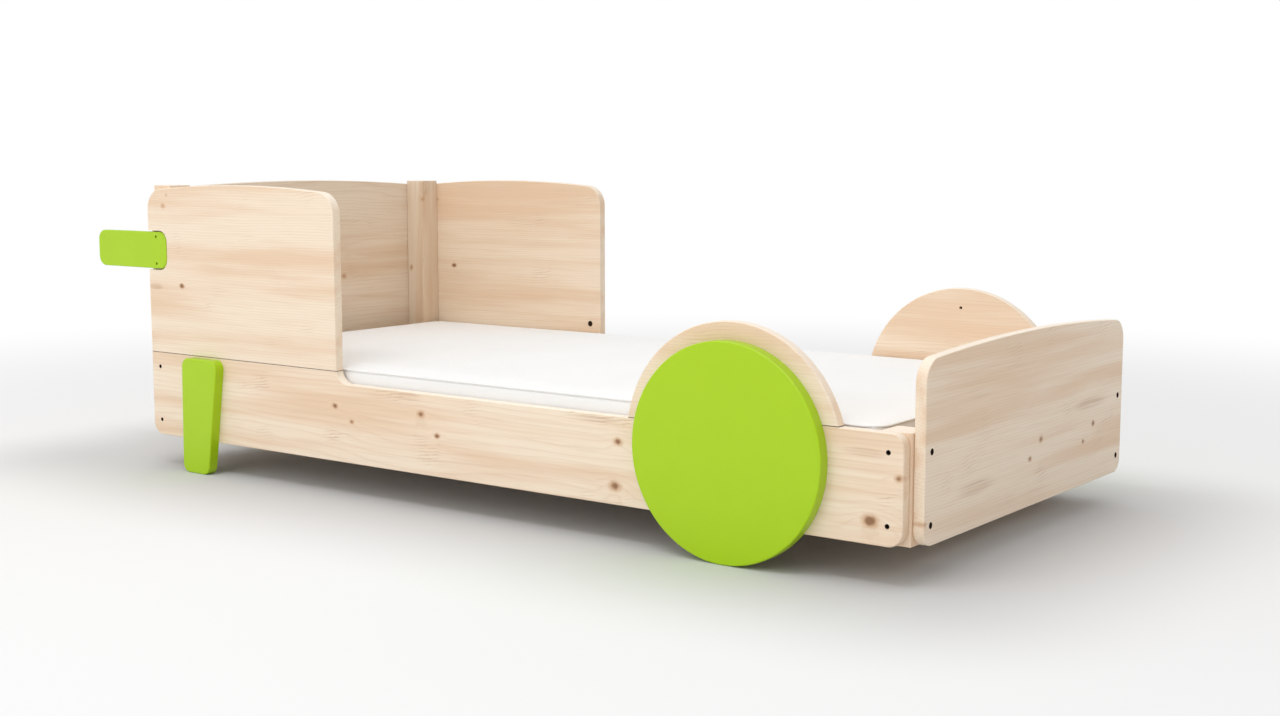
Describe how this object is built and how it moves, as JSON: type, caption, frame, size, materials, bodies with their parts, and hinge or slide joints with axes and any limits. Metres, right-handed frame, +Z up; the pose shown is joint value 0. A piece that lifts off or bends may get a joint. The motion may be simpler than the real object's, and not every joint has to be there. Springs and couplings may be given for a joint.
{
  "type": "kids single bed",
  "caption": "child's single bed shaped like a vehicle, pine boards with arched tops, lacquered wheel discs, wedge legs and end tabs, slatted base and plain mattress",
  "frame": {"origin": "on the floor, under the middle of the bed's overall length and width", "axes": "+X from the head end to the foot end, +Y to the far side, +Z up"},
  "size_m": [2.245, 1.004, 0.677],
  "materials": {
    "oiled_pine": "clear satin lacquer",
    "slat_wood": "planed",
    "beech": "plain",
    "green_lacquer": "satin lacquer",
    "mattress_cover": "woven",
    "webbing": "woven",
    "zinc_steel": "zinc plated",
    "black_steel": "blackened",
    "cam_metal": "dark bronze"
  },
  "bodies": {
    "bed_frame": {"arch_dowels": "beech", "bearer_screws": "zinc_steel", "cam_bolts": "zinc_steel", "cams": "cam_metal", "far_end_tab": "green_lacquer", "far_foot_post": "oiled_pine", "far_guard_panel": "oiled_pine", "far_head_post": "oiled_pine", "far_leg": "green_lacquer", "far_side_rail": "oiled_pine", "far_slat_bearer": "slat_wood", "far_slat_tape": "webbing", "far_wheel": "green_lacquer", "far_wheel_arch": "oiled_pine", "footboard": "oiled_pine", "footboard_bolts": "black_steel", "guard_dowels": "beech", "headboard": "oiled_pine", "headboard_bolts": "black_steel", "leg_screws": "black_steel", "near_end_tab": "green_lacquer", "near_foot_post": "oiled_pine", "near_guard_panel": "oiled_pine", "near_head_post": "oiled_pine", "near_leg": "green_lacquer", "near_side_rail": "oiled_pine", "near_slat_bearer": "slat_wood", "near_slat_tape": "webbing", "near_wheel": "green_lacquer", "near_wheel_arch": "oiled_pine", "post_dowels": "beech", "rail_bolts": "black_steel", "slat_01": "slat_wood", "slat_02": "slat_wood", "slat_03": "slat_wood", "slat_04": "slat_wood", "slat_05": "slat_wood", "slat_06": "slat_wood", "slat_07": "slat_wood", "slat_08": "slat_wood", "slat_09": "slat_wood", "slat_10": "slat_wood", "slat_11": "slat_wood", "slat_12": "slat_wood", "slat_13": "slat_wood", "slat_14": "slat_wood", "slat_screws": "zinc_steel", "tab_screws": "black_steel", "threaded_inserts": "zinc_steel", "wheel_screws": "black_steel"},
    "loose_mattress": {"mattress": "mattress_cover"}
  },
  "joints": [
    {"name": "mattress_lift", "type": "slide", "parent": "bed_frame", "child": "loose_mattress", "axis": [0, 0, 1], "range_m": [0, 0.54]}
  ]
}
